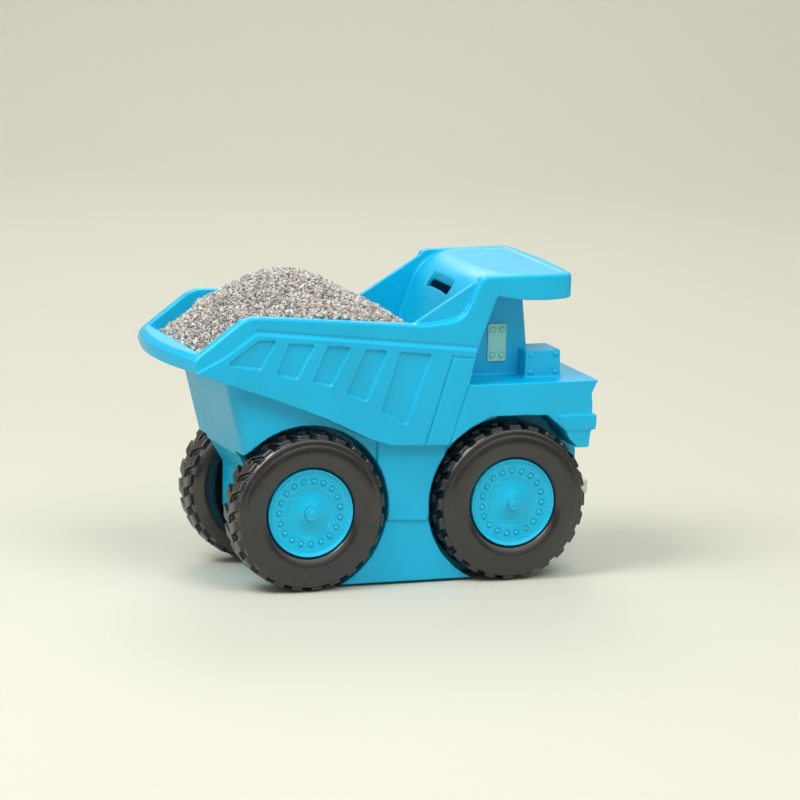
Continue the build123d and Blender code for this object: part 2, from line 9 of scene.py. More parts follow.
import bpy
import numpy as np
from mathutils import Matrix, Vector
from mathutils.bvhtree import BVHTree


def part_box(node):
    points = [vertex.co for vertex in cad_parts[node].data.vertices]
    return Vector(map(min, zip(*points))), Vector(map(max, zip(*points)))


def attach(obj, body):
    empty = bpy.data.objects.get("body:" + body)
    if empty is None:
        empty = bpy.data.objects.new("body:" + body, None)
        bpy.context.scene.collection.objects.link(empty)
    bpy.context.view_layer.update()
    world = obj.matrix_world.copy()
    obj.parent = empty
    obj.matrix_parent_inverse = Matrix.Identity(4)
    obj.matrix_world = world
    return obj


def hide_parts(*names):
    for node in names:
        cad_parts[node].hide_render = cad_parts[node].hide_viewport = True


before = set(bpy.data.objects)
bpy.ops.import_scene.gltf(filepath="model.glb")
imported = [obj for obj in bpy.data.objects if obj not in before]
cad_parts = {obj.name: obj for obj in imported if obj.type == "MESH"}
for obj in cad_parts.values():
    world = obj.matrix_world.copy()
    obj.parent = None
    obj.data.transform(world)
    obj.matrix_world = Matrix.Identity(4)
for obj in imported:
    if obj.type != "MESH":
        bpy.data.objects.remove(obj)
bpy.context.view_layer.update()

MM = 0.001
SIDES = {"right": -1, "left": 1}        # the way each side faces along Y


# ------------------------------------------------------------------ colours (linear)
def srgb(red, green, blue):
    """An 8-bit display colour as a linear RGBA value."""
    scaled = [value / 255 for value in (red, green, blue)]
    linear = [v / 12.92 if v <= 0.04045 else ((v + 0.055) / 1.055) ** 2.4 for v in scaled]
    return (*linear, 1.0)


BLUE = srgb(0, 176, 220)
HUB_BLUE = srgb(0, 180, 220)
# Painted highlight colour: the rounded edges of the body and hub are lightened towards it.
EDGE_HIGHLIGHT_BLUE = srgb(110, 226, 250)
MINT = srgb(152, 214, 202)
RUBBER = srgb(24, 22, 22)
SILVER = srgb(212, 212, 208)


# ------------------------------------------------------------------ material tools
def add_node(tree, kind, values=None, links=None, **settings):
    """A shader node with its settings, socket values and incoming links."""
    made = tree.nodes.new(kind)
    for name, value in settings.items():
        setattr(made, name, value)
    for socket, value in (values or {}).items():
        made.inputs[socket].default_value = value
    for socket, source in (links or {}).items():
        tree.links.new(source, made.inputs[socket])
    return made


def noise_factor(tree, scale, detail=3.0):
    """A 0..1 noise in object space; scale is in cycles per metre."""
    place = add_node(tree, "ShaderNodeTexCoord")
    noise = add_node(tree, "ShaderNodeTexNoise", values={"Scale": scale, "Detail": detail},
                     links={"Vector": place.outputs["Object"]})
    return noise.outputs["Fac"]


def spread(tree, source, low, high, to_low, to_high):
    """Maps low..high of a value to to_low..to_high, clamped."""
    made = add_node(
        tree, "ShaderNodeMapRange",
        values={"From Min": low, "From Max": high, "To Min": to_low, "To Max": to_high},
        links={"Value": source},
    )
    return made.outputs["Result"]


# The Mix node has sockets for every data type; these are the ones for colours and for numbers.
MIX_FACTOR = 0
MIX_COLOURS = (6, 7)
MIX_COLOUR_RESULT = 2
MIX_NUMBERS = (2, 3)


def mixed(tree, factor, first, second):
    """Two colours mixed; each is a socket or an RGBA value."""
    made = add_node(tree, "ShaderNodeMix", data_type="RGBA", links={MIX_FACTOR: factor})
    for index, colour in zip(MIX_COLOURS, (first, second)):
        if isinstance(colour, tuple):
            made.inputs[index].default_value = colour
        else:
            tree.links.new(colour, made.inputs[index])
    return made.outputs[MIX_COLOUR_RESULT]


def scaled(colour, factor):
    """A colour made lighter or darker."""
    return (*[min(1.0, value * factor) for value in colour[:3]], 1.0)


def blank_material(name):
    """A new material, its node tree and its shader."""
    made = bpy.data.materials.new(name)
    made.use_nodes = True
    tree = made.node_tree
    return made, tree, tree.nodes["Principled BSDF"]


# Scales of the mouldings' noises in cycles per metre, and where the mesh's pointiness counts.
CLOUD_SCALE = 28.0
WEAR_AND_HIGHLIGHT_SCALE = 160.0
SMUDGE_SCALE = 55.0
WORN_AND_HIGHLIT_EDGE = (0.515, 0.58)       # scuffing and painted highlight start, and are full
CREASE = (0.44, 0.49)           # painted shade is full, and ends
CREASE_SHADE = 0.35
NOISE_RANGE = (0.3, 0.7)        # most of a noise lies between these


def moulded(name, colour, roughness, mottle=0.06, wear_and_highlight=0.25, grain=0.04, grain_scale=1600,
            edge_scuff_and_highlight_colour=None, metallic=0.0, sheen_level=0.3):
    """Moulded or painted surface: cloudy colour, lighter edges that are partly scuffing and partly
    painted highlight, painted shade in creases, fine grain.
    """
    made, tree, shader = blank_material(name)
    clouds = noise_factor(tree, CLOUD_SCALE)
    cloudy = mixed(tree, spread(tree, clouds, *NOISE_RANGE, 0.0, 1.0),
                   scaled(colour, 1 - mottle), scaled(colour, 1 + mottle))
    pointed = add_node(tree, "ShaderNodeNewGeometry").outputs["Pointiness"]
    # Lighter edges: partly scuffing, partly a painted highlight where rounded edges catch the
    # light, broken into patches by noise.
    patchy = noise_factor(tree, WEAR_AND_HIGHLIGHT_SCALE, detail=5.0)
    edge = spread(tree, pointed, *WORN_AND_HIGHLIT_EDGE, 0.0, 1.0)
    worn_and_highlit = add_node(tree, "ShaderNodeMath", operation="MULTIPLY",
                    links={0: edge, 1: spread(tree, patchy, 0.35, 0.7, 0.0, wear_and_highlight)})
    lighter = edge_scuff_and_highlight_colour or scaled(colour, 1.5)
    edged = mixed(tree, worn_and_highlit.outputs[0], cloudy, lighter)
    # Painted shade: creases and tight hollows are darkened in the colour itself.
    crease = spread(tree, pointed, *CREASE, CREASE_SHADE, 0.0)
    final = mixed(tree, crease, edged, scaled(colour, 0.45))
    tree.links.new(final, shader.inputs["Base Color"])

    smudges = noise_factor(tree, SMUDGE_SCALE, detail=4.0)
    rough = spread(tree, smudges, *NOISE_RANGE, roughness - 0.05, roughness + 0.07)
    tree.links.new(rough, shader.inputs["Roughness"])
    fine = noise_factor(tree, grain_scale, detail=2.0)
    bump = add_node(tree, "ShaderNodeBump", values={"Strength": grain, "Distance": 0.0002},
                    links={"Height": fine})
    tree.links.new(bump.outputs["Normal"], shader.inputs["Normal"])
    shader.inputs["Specular IOR Level"].default_value = sheen_level
    shader.inputs["Metallic"].default_value = metallic
    return made


SPECKLE_SCALE = 1900.0
SPECKLE_COLOUR = (0.30, 0.29, 0.27, 1.0)
GRIT_SCALE = 4200.0


def stone_material(name, shades):
    """Crushed stone: one shade for each loose grain, with mineral speckle and a gritty surface."""
    made, tree, shader = blank_material(name)
    grain_random = add_node(tree, "ShaderNodeNewGeometry").outputs["Random Per Island"]
    ramp = add_node(tree, "ShaderNodeValToRGB", links={"Fac": grain_random})
    stops = ramp.color_ramp.elements
    while len(stops) < len(shades):
        stops.new(0.5)
    for index, (stop, shade) in enumerate(zip(stops, shades)):
        stop.position = index / (len(shades) - 1)
        stop.color = shade
    speckle = noise_factor(tree, SPECKLE_SCALE)
    dark = mixed(tree, spread(tree, speckle, 0.35, 0.7, 0.08, 0.68), ramp.outputs["Color"],
                 SPECKLE_COLOUR)
    tree.links.new(dark, shader.inputs["Base Color"])
    shader.inputs["Roughness"].default_value = 0.8
    grit = noise_factor(tree, GRIT_SCALE)
    bump = add_node(tree, "ShaderNodeBump", values={"Strength": 0.4, "Distance": 0.0001},
                    links={"Height": grit})
    tree.links.new(bump.outputs["Normal"], shader.inputs["Normal"])
    return made


# The lighter edges of the body and hub are a painted highlight, broken into scuffed-looking
# patches.
body_material = moulded("moulded_blue", BLUE, roughness=0.36, wear_and_highlight=0.6, edge_scuff_and_highlight_colour=EDGE_HIGHLIGHT_BLUE,
                        sheen_level=0.45)
hub_material = moulded("hub_blue_plastic", HUB_BLUE, roughness=0.30, wear_and_highlight=0.7,
                       edge_scuff_and_highlight_colour=EDGE_HIGHLIGHT_BLUE, sheen_level=0.45)
mint_material = moulded("mint_paint", MINT, roughness=0.5, mottle=0.05, wear_and_highlight=0.4)
rubber_material = moulded("tyre_rubber", RUBBER, roughness=0.27, mottle=0.25, wear_and_highlight=0.35,
                          grain=0.08, grain_scale=2600, edge_scuff_and_highlight_colour=srgb(120, 112, 110),
                          sheen_level=0.9)
silver_material = moulded("silver_paint", SILVER, roughness=0.32, mottle=0.04, wear_and_highlight=0.3,
                          metallic=0.4)
steel_material = moulded("drawn_steel", SILVER, roughness=0.28, mottle=0.08, metallic=1.0)
bush_material = moulded("bush_plastic", srgb(226, 226, 220), roughness=0.5, mottle=0.03)
stopper_material = moulded("stopper_rubber", srgb(52, 52, 54), roughness=0.6, mottle=0.15)
gravel_material = stone_material("crushed_stone", [
    srgb(246, 244, 240), srgb(208, 206, 208), srgb(160, 156, 160), srgb(220, 206, 178),
    srgb(238, 236, 232), srgb(128, 122, 120), srgb(198, 184, 158), srgb(232, 232, 234),
    srgb(182, 178, 180), srgb(150, 134, 116),
])
# Painted shade: the heap's core is darker than any stone, so the gaps between the top stones read
# as shade.
heap_shade_material = stone_material("heap_core_painted_shade", [srgb(84, 76, 68), srgb(104, 98, 92)])


# ------------------------------------------------------------------ mesh tools
def new_object(name, vertices, faces, material, smooth=True):
    """An object from vertex positions in millimetres."""
    mesh = bpy.data.meshes.new(name)
    mesh.from_pydata((np.asarray(vertices, float) * MM).tolist(), [], np.asarray(faces).tolist())
    mesh.materials.append(material)
    mesh.polygons.foreach_set("use_smooth", [smooth] * len(mesh.polygons))
    made = bpy.data.objects.new(name, mesh)
    bpy.context.scene.collection.objects.link(made)
    return made


def apply_modifiers(thing):
    """Makes the result of the object's modifiers its mesh."""
    shaped = thing.evaluated_get(bpy.context.evaluated_depsgraph_get())
    mesh = bpy.data.meshes.new_from_object(shaped)
    before = thing.data
    thing.modifiers.clear()
    thing.data = mesh
    bpy.data.meshes.remove(before)


def remeshed(thing, voxel, rounds, most_triangles):
    """Puts one closed, softened skin round all of the object's volumes.

    Returns the share of the skin's triangles that can be kept.
    """
    remesh = thing.modifiers.new("skin", "REMESH")
    remesh.mode = "VOXEL"
    remesh.voxel_size = voxel * MM
    remesh.use_smooth_shade = True
    soften = thing.modifiers.new("soften", "SMOOTH")
    soften.factor = 0.5
    soften.iterations = rounds
    apply_modifiers(thing)
    return most_triangles / max(1, 2 * len(thing.data.polygons))


def thin_out(thing, ratio):
    """Keeps a share of the triangles, dropping them where the surface is flat."""
    if ratio < 1:
        fewer = thing.modifiers.new("thin_out", "DECIMATE")
        fewer.ratio = ratio
        apply_modifiers(thing)


def points_of(mesh):
    """A mesh's vertices in millimetres, one row each."""
    flat = np.empty(3 * len(mesh.vertices), np.float32)
    mesh.vertices.foreach_get("co", flat)
    return flat.reshape(-1, 3).astype(float) / MM


def move_points(mesh, points):
    """Moves a mesh's vertices to points in millimetres."""
    mesh.vertices.foreach_set("co", (points * MM).astype(np.float32).ravel())
    mesh.update()


def rounded(points, steps=4):
    """A smooth Catmull-Rom line through the points."""
    line = np.asarray(points, float)
    padded = np.vstack([2 * line[0] - line[1], line, 2 * line[-1] - line[-2]])
    made = []
    for a, b, c, d in zip(padded, padded[1:], padded[2:], padded[3:]):
        for t in np.arange(steps) / steps:
            made.append(0.5 * (2 * b + (c - a) * t + (2 * a - 5 * b + 4 * c - d) * t ** 2
                               + (3 * b - a - 3 * c + d) * t ** 3))
    made.append(line[-1])
    return np.array(made)


def ring_faces(rows, columns):
    """Quads of a grid that closes on itself both ways."""
    row, column = np.meshgrid(np.arange(rows), np.arange(columns), indexing="ij")
    next_row = (row + 1) % rows
    next_column = (column + 1) % columns
    quads = np.stack([row * columns + column, row * columns + next_column,
                      next_row * columns + next_column, next_row * columns + column], axis=-1)
    return quads.reshape(-1, 4)


def revolved(section, segments):
    """Vertices and quads of a closed section of (outboard, radius) turned about the Y axis."""
    angle = 2 * math.pi * np.arange(segments) / segments
    section = np.asarray(section, float)
    vertices = np.stack([
        section[:, 1:2] * np.sin(angle), np.repeat(-section[:, :1], segments, axis=1),
        section[:, 1:2] * np.cos(angle),
    ], axis=-1).reshape(-1, 3)
    return vertices, ring_faces(len(section), segments)


def joined(parts):
    """Several (vertices, faces) as one."""
    vertices, faces, count = [], [], 0
    for part_vertices, part_faces in parts:
        vertices.append(np.asarray(part_vertices, float))
        faces.extend((np.asarray(part_faces) + count).tolist())
        count += len(part_vertices)
    return np.vstack(vertices), faces


def rivet(away, radius, height, moat_r, moat_width, moat_depth, flat=True):
    """Height of a rivet, flat or domed, and of the moat round it, at a distance from its middle."""
    if flat:
        head = np.clip(1 - (away / radius) ** 4, 0, 1) ** 0.6
    else:
        head = np.clip(1 - (away / radius) ** 2, 0, 1)
    return height * head - moat_depth * np.exp(-((away - moat_r) / moat_width) ** 2)


# ------------------------------------------------------------------ moulded body
BODY_VOXEL = 0.6
BODY_SOFTENING = 5              # rounds
BODY_TRIANGLES = 195_000
WELD_GAP = 0.002
PANEL_Y = 49.8                  # half width over the raised side panels
SLAB_Y = 48.8                   # half width over the bed's rails
REAR_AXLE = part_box("rear_axle")
REAR_AXLE_X = (REAR_AXLE[0].x + REAR_AXLE[1].x) / 2 / MM

# Details finer than the skin's voxels, as lines in side view (station, height) at a width.
POST_GROOVE = [(80.2, 127.3), (64.9, 77.2)]
FENDER_GROOVE = [(90.0, 111.0), (79.3, 77.2)]
POST_TOP_GROOVE = [(80.6, 126.8), (94.6, 125.5)]
RIB_SHADOW = [(-33.0, 145.6), (94.1, 131.8)]
GROOVES = [                     # line, surface it is pressed into, depth, half width
    (POST_GROOVE, PANEL_Y, 0.95, 0.62), (FENDER_GROOVE, PANEL_Y, 0.8, 0.55),
    (POST_TOP_GROOVE, PANEL_Y, 0.7, 0.5), (RIB_SHADOW, SLAB_Y, 0.55, 0.55),
]
SKIN_DEPTH = 1.3                # points this far below a surface still belong to it
DECK_BOX_MIDDLE = (138.6, 118.6)
BOX_RIVETS = [(DECK_BOX_MIDDLE[0] + a * 7.3, DECK_BOX_MIDDLE[1] + b * 4.8)
              for a in (-1, 1) for b in (-1, 1)]
BOX_SIDE_Y = (-37.5, -34.8)
RIVET_REACH = 3


def distance_to_line(along, height, line):
    """Distance in side view from a straight line between two points."""
    start, end = np.array(line[0]), np.array(line[1])
    run = end - start
    part = ((along - start[0]) * run[0] + (height - start[1]) * run[1]) / (run @ run)
    part = np.clip(part, 0, 1)
    return np.hypot(along - start[0] - part * run[0], height - start[1] - part * run[1])


def carve_sides(mesh):
    """Presses the narrow grooves into the sides and raises the tool box's rivets."""
    points = points_of(mesh)
    along = points[:, 0] - REAR_AXLE_X
    height = points[:, 2]
    width = np.abs(points[:, 1])
    for line, surface, depth, reach in GROOVES:
        away = distance_to_line(along, height, line)
        floor = surface - depth * np.exp(-(away / reach) ** 2)
        touched = (width > surface - SKIN_DEPTH) & (width > floor) & (away < 2.5 * reach)
        width = np.where(touched, floor, width)
    points[:, 1] = np.sign(points[:, 1]) * width
    for rivet_along, rivet_height in BOX_RIVETS:
        away = np.hypot(along - rivet_along, height - rivet_height)
        on_side = (points[:, 1] > BOX_SIDE_Y[0]) & (points[:, 1] < BOX_SIDE_Y[1])
        lift = rivet(away, radius=1.25, height=0.55, moat_r=1.7, moat_width=0.4, moat_depth=0.3,
                     flat=False)
        points[:, 1] -= np.where(on_side & (away < RIVET_REACH), lift, 0)
    move_points(mesh, points)


def make_body():
    """The body: the CAD node's shape with soft edges and pressed details."""
    body = bpy.data.objects.new("body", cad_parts["body_shell"].data.copy())
    bpy.context.scene.collection.objects.link(body)
    body.data.materials.clear()
    body.data.materials.append(body_material)
    weld = body.modifiers.new("weld", "WELD")
    weld.merge_threshold = WELD_GAP * MM
    ratio = remeshed(body, BODY_VOXEL, BODY_SOFTENING, BODY_TRIANGLES)
    carve_sides(body.data)
    thin_out(body, ratio)
    body.data.polygons.foreach_set("use_smooth", [True] * len(body.data.polygons))
    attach(body, "truck")
    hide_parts("body_shell")


make_body()


# ------------------------------------------------------------------ gravel
STONE_SPACING = 1.42
STONE_SIZE = (0.6, 1.55)        # half lengths
STONE_LAYERS = [(0.9, 1.0), (0.15, 0.85), (-0.45, 0.35)]    # depth, share of places taken
STONE_SHIFT = 0.75              # most shift from a place, in spacings
CORE_DROP = 1.2                 # of the solid heap's top, below the stones
CORE_TOP_Z = 120                # the heap's top lies above this height
GRAVEL_SEED = 20


def icosahedron():
    """Corners and faces of a regular icosahedron of radius 1."""
    golden = (1 + math.sqrt(5)) / 2
    corners = []
    for a in (-1, 1):
        for b in (-golden, golden):
            corners += [(0, a, b), (a, b, 0), (b, 0, a)]
    corners = np.array(corners) / math.hypot(1, golden)
    edge = min(np.linalg.norm(corners[0] - other) for other in corners[1:]) * 1.01
    faces = []
    for i in range(12):
        for j in range(i + 1, 12):
            for k in range(j + 1, 12):
                trio = corners[[i, j, k]]
                sides = [np.linalg.norm(trio[m] - trio[m - 1]) for m in range(3)]
                if max(sides) < edge:
                    outward = np.dot(np.cross(trio[1] - trio[0], trio[2] - trio[0]), trio[0]) > 0
                    faces.append((i, j, k) if outward else (i, k, j))
    return corners, np.array(faces)


def random_turns(count, random):
    """Rotation matrices, evenly spread."""
    q = random.normal(size=(count, 4))
    q /= np.linalg.norm(q, axis=1, keepdims=True)
    w, x, y, z = q.T
    return np.stack([
        1 - 2 * (y * y + z * z), 2 * (x * y - w * z), 2 * (x * z + w * y),
        2 * (x * y + w * z), 1 - 2 * (x * x + z * z), 2 * (y * z - w * x),
        2 * (x * z - w * y), 2 * (y * z + w * x), 1 - 2 * (x * x + y * y),
    ], axis=-1).reshape(-1, 3, 3)


def stones(name, centres, sizes, random):
    """One object of many loose angular grains, a jittered icosahedron each."""
    corners, faces = icosahedron()
    count = len(centres)
    shape = corners[None] * random.uniform(0.72, 1.12, (count, 12, 1))
    stretch = np.stack([random.uniform(0.95, 1.3, count), random.uniform(0.7, 1.0, count),
                        random.uniform(0.5, 0.85, count)], axis=-1)
    shape = shape * stretch[:, None] * sizes[:, None, None]
    turned = np.einsum("nij,nkj->nki", random_turns(count, random), shape)
    vertices = (turned + centres[:, None]).reshape(-1, 3)
    all_faces = (faces[None] + 12 * np.arange(count)[:, None, None]).reshape(-1, 3)
    return new_object(name, vertices, all_faces, gravel_material, smooth=False)


def heap_surface(spacing):
    """Grid points on the CAD heap's top, and the height there (nan off the heap)."""
    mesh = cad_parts["gravel_load"].data
    tree = BVHTree.FromPolygons([v.co.copy() for v in mesh.vertices],
                                [tuple(p.vertices) for p in mesh.polygons])
    low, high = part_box("gravel_load")
    xs = np.arange(low.x / MM, high.x / MM, spacing)
    ys = np.arange(low.y / MM, high.y / MM, spacing)
    heights = np.full((len(xs), len(ys)), np.nan)
    above = 2 * high.z
    for i, x in enumerate(xs):
        for j, y in enumerate(ys):
            hit = tree.ray_cast(Vector((x * MM, y * MM, above)), Vector((0, 0, -1)))[0]
            if hit is not None:
                heights[i, j] = hit.z / MM
    return xs, ys, heights


def make_gravel():
    """Layers of loose stones over a core that stands in for the grains below them; the core is
    coloured dark as painted shade in the gaps between stones.
    """
    random = np.random.RandomState(GRAVEL_SEED)
    xs, ys, heights = heap_surface(STONE_SPACING)
    grid_x, grid_y = np.meshgrid(xs, ys, indexing="ij")
    on_heap = ~np.isnan(heights)
    for layer, (drop, share) in enumerate(STONE_LAYERS):
        kept = on_heap & (random.uniform(size=heights.shape) < share)
        count = int(kept.sum())
        offset = random.uniform(-STONE_SHIFT, STONE_SHIFT, (count, 3))
        offset = offset * (STONE_SPACING, STONE_SPACING, 0.5)
        centres = np.stack([grid_x[kept], grid_y[kept], heights[kept] - drop], axis=-1) + offset
        small, large = STONE_SIZE
        sizes = small + (large - small) * random.uniform(size=count) ** 1.4
        piece = stones(f"gravel_{layer + 1}", centres, sizes, random)
        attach(piece, "truck")
    core = bpy.data.objects.new("gravel_core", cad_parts["gravel_load"].data.copy())
    bpy.context.scene.collection.objects.link(core)
    core.data.materials.clear()
    core.data.materials.append(heap_shade_material)
    points = points_of(core.data)
    points[:, 2] -= np.where(points[:, 2] > CORE_TOP_Z, CORE_DROP, 0)
    move_points(core.data, points)
    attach(core, "truck")
    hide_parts("gravel_load")


make_gravel()


# ------------------------------------------------------------------ wheels
TYRE_OUT = 51.5
TYRE_IN = 26.0
TREAD_R = 41.5
LUG_TOP_R = 43.75
HUB_R = 24.2
HUB_FACE_FROM = 46.5            # only the hub's outer face lies outboard of this
LUG_COUNT = 24
LUG_LENGTH = 9.5
LUG_LEAN = 4.6
LUG_HALF_WIDTH = (3.7, 3.15)    # at its foot and at its top
LUG_FOOT_R = 38.6
LUG_STEPS = 8
LUG_SHOULDER = 0.7              # the bar's top falls from this share of its length on
LUG_DROP = 0.7
TYRE_SEGMENTS = 180
TYRE_SOFTENING = 3              # rounds
RIVET_COUNT = 19
RIVET_RING_R = 17.6
RIVET_R = 1.1
FACES_PER_RIVET = 20
CAP_SEGMENTS = 72
WHEEL_ANGLES = {                # degrees each wheel stands at
    "front_right": -1.5, "front_left": 7.0, "rear_right": 6.0, "rear_left": -4.0,
}
TYRE_VOXEL = 0.42
TYRE_TRIANGLES = 150_000


def tyre_section():
    """(outboard, radius) round the tyre, from the bead over the tread to the closed inner side."""
    outer = rounded([
        (46.2, 24.4), (47.9, 24.5), (49.6, 25.6), (50.7, 27.2), (51.0, 28.2), (51.3, 28.9),
        (51.45, 31.0), (51.45, 33.4), (51.2, 35.4), (50.7, 37.3), (50.2, 38.0), (50.25, 38.7),
        (50.0, 39.8), (49.4, 40.8), (48.7, 41.2), (48.1, 40.9), (47.2, 41.2), (46.0, TREAD_R),
    ])
    tread = [(42.0, TREAD_R), (38.7, TREAD_R + 0.2), (35.0, TREAD_R)]
    inner = rounded([
        (31.5, TREAD_R), (29.4, 40.6), (27.6, 38.8), (26.4, 36.0), (TYRE_IN + 0.05, 33.2),
        (26.5, 30.0), (28.0, 25.8), (29.4, 20.5), (29.8, 14.0), (29.4, 8.0),
    ])
    cavity = [(32.0, 8.0), (33.0, 24.2), (40.0, 24.2)]
    return np.vstack([outer, tread, inner, cavity])


def lug_block(start_angle, direction):
    """One tread bar from the middle of the tread to a shoulder, leaning along the way."""
    middle = (TYRE_IN + TYRE_OUT) / 2
    steps = np.linspace(-0.04, 1.0, LUG_STEPS)
    vertices = []
    for step in steps:
        outboard = middle + direction * step * LUG_LENGTH
        along = (step - 0.5) * LUG_LEAN
        drop = LUG_DROP * max(0.0, (step - LUG_SHOULDER) / (1 - LUG_SHOULDER)) ** 2
        for side, height in ((-1, 0), (-1, 1), (1, 1), (1, 0)):
            radius = LUG_TOP_R - drop if height else LUG_FOOT_R
            turn = start_angle + (along + side * LUG_HALF_WIDTH[height]) / LUG_TOP_R
            vertices.append((radius * math.sin(turn), -outboard, radius * math.cos(turn)))
    faces = []
    for step in range(len(steps) - 1):
        for corner in range(4):
            a = 4 * step + corner
            b = 4 * step + (corner + 1) % 4
            faces.append((a, b, b + 4, a + 4))
    last = 4 * (len(steps) - 1)
    faces.append((3, 2, 1, 0))
    faces.append((last, last + 1, last + 2, last + 3))
    if direction < 0:
        faces = [face[::-1] for face in faces]
    return vertices, faces


def make_tyre_mesh():
    """The tyre: its turned section and two rings of tread bars under one soft skin."""
    pitch = 2 * math.pi / LUG_COUNT
    parts = [revolved(tyre_section(), TYRE_SEGMENTS)]
    for index in range(LUG_COUNT):
        parts.append(lug_block(index * pitch, 1))
        parts.append(lug_block((index + 0.5) * pitch, -1))
    tyre = new_object("tyre_form", *joined(parts), rubber_material)
    ratio = remeshed(tyre, TYRE_VOXEL, TYRE_SOFTENING, TYRE_TRIANGLES)
    thin_out(tyre, ratio)
    mesh = tyre.data
    bpy.data.objects.remove(tyre)
    return mesh


def hub_section():
    """(outboard, radius) round the hub, from the bore over the dished face to its back."""
    boss = [(49.35, 2.06), (49.35, 4.2)]
    face = rounded([
        (49.25, 4.9), (48.75, 6.0), (48.1, 7.8), (47.45, 10.0), (47.1, 12.0), (47.12, 13.0),
        (47.5, 14.0), (47.62, 14.8),
    ], steps=5)
    ring = [(47.62 + 0.02 * step, 14.8 + 0.25 * step) for step in range(1, 24)]
    rim = rounded([(48.25, 21.3), (48.6, 22.3), (49.2, 23.1), (49.62, 23.6), (49.6, 24.0),
                   (49.2, HUB_R)], steps=4)
    back = [(43.6, HUB_R), (43.5, 22.6), (45.0, 20.6), (44.9, 7.5), (43.0, 5.5), (26.1, 5.5),
            (26.1, 2.06)]
    return np.vstack([boss, face, ring, rim, back])


def make_hub_mesh():
    """The hub with a ring of small domed rivets, each in a shallow moat."""
    vertices, faces = revolved(hub_section(), RIVET_COUNT * FACES_PER_RIVET)
    on_face = -vertices[:, 1] > HUB_FACE_FROM
    radius = np.hypot(vertices[:, 0], vertices[:, 2])
    turn = np.arctan2(vertices[:, 0], vertices[:, 2])
    pitch = 2 * math.pi / RIVET_COUNT
    off_centre = (turn + pitch / 2) % pitch - pitch / 2
    away = np.hypot(radius - RIVET_RING_R, off_centre * RIVET_RING_R)
    lift = rivet(away, RIVET_R, height=0.7, moat_r=RIVET_R + 0.38, moat_width=0.28,
                 moat_depth=0.55)
    vertices[:, 1] -= np.where(on_face & (away < RIVET_REACH), lift, 0)
    hub = new_object("hub_form", vertices, faces, hub_material)
    mesh = hub.data
    bpy.data.objects.remove(hub)
    return mesh


def make_cap_mesh():
    """Round push-on cap of the axle's end, with a raised inner ring."""
    rim = [(49.45, 2.06), (49.45, 3.5)]
    dome = rounded([
        (49.6, 3.75), (50.4, 3.8), (50.9, 3.6), (51.05, 3.2), (50.9, 2.8), (50.75, 2.5),
        (50.95, 2.1), (51.25, 1.5), (51.35, 0.7), (51.37, 0.02),
    ])
    socket = [(50.75, 0.02), (50.75, 2.06)]
    section = np.vstack([rim, dome, socket])
    cap = new_object("cap_form", *revolved(section, CAP_SEGMENTS), hub_material)
    mesh = cap.data
    bpy.data.objects.remove(cap)
    return mesh


def place_on_axle(name, mesh, place, rides_on, stands_for):
    """A copy of a wheel mesh at its axle end; the left side is the mirror image."""
    low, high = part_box(f"tyre_{place}")
    centre = (low + high) / 2
    turned = Matrix.Rotation(math.radians(WHEEL_ANGLES[place]), 4, "Y")
    side = Matrix.Scale(-1, 4, (0, 1, 0)) if place.endswith("left") else Matrix.Identity(4)
    axle_z = (REAR_AXLE[0].z + REAR_AXLE[1].z) / 2
    copy = mesh.copy()
    copy.transform(Matrix.Translation((centre.x, 0, axle_z)) @ side @ turned)
    if place.endswith("left"):
        copy.flip_normals()
    piece = bpy.data.objects.new(name, copy)
    bpy.context.scene.collection.objects.link(piece)
    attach(piece, rides_on)
    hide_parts(stands_for)
    return piece


tyre_mesh = make_tyre_mesh()
hub_mesh = make_hub_mesh()
cap_mesh = make_cap_mesh()
for place in WHEEL_ANGLES:
    wheel = f"wheel_{place}"
    place_on_axle(f"rubber_{place}", tyre_mesh, place, wheel, f"tyre_{place}")
    place_on_axle(f"dish_{place}", hub_mesh, place, wheel, f"hub_{place}")
    place_on_axle(f"cap_{place}", cap_mesh, place, "truck", f"axle_cap_{place}")


# ------------------------------------------------------------------ trim and carried-over parts
SOFTENED_ANGLE = 35             # degrees; edges at least this sharp are softened


def finish_cad_node(name, material, bevel=0.0):
    """Gives a CAD node its finish, and softens its edges."""
    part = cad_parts[name]
    part.data.materials.clear()
    part.data.materials.append(material)
    if bevel:
        soften = part.modifiers.new("soft_edges", "BEVEL")
        soften.width = bevel * MM
        soften.segments = 3
        soften.limit_method = "ANGLE"
        soften.angle_limit = math.radians(SOFTENED_ANGLE)
        soften.harden_normals = True


PLATE_THICKNESS = 1.15
PLATE_CORNER_R = 1.2
PLATE_EDGE_R = 0.5
PLATE_POINTS_PER_MM = 5
PLATE_RIVETS = [(a * 2.8, b * 7.3) for a in (-1, 1) for b in (-1, 1)]


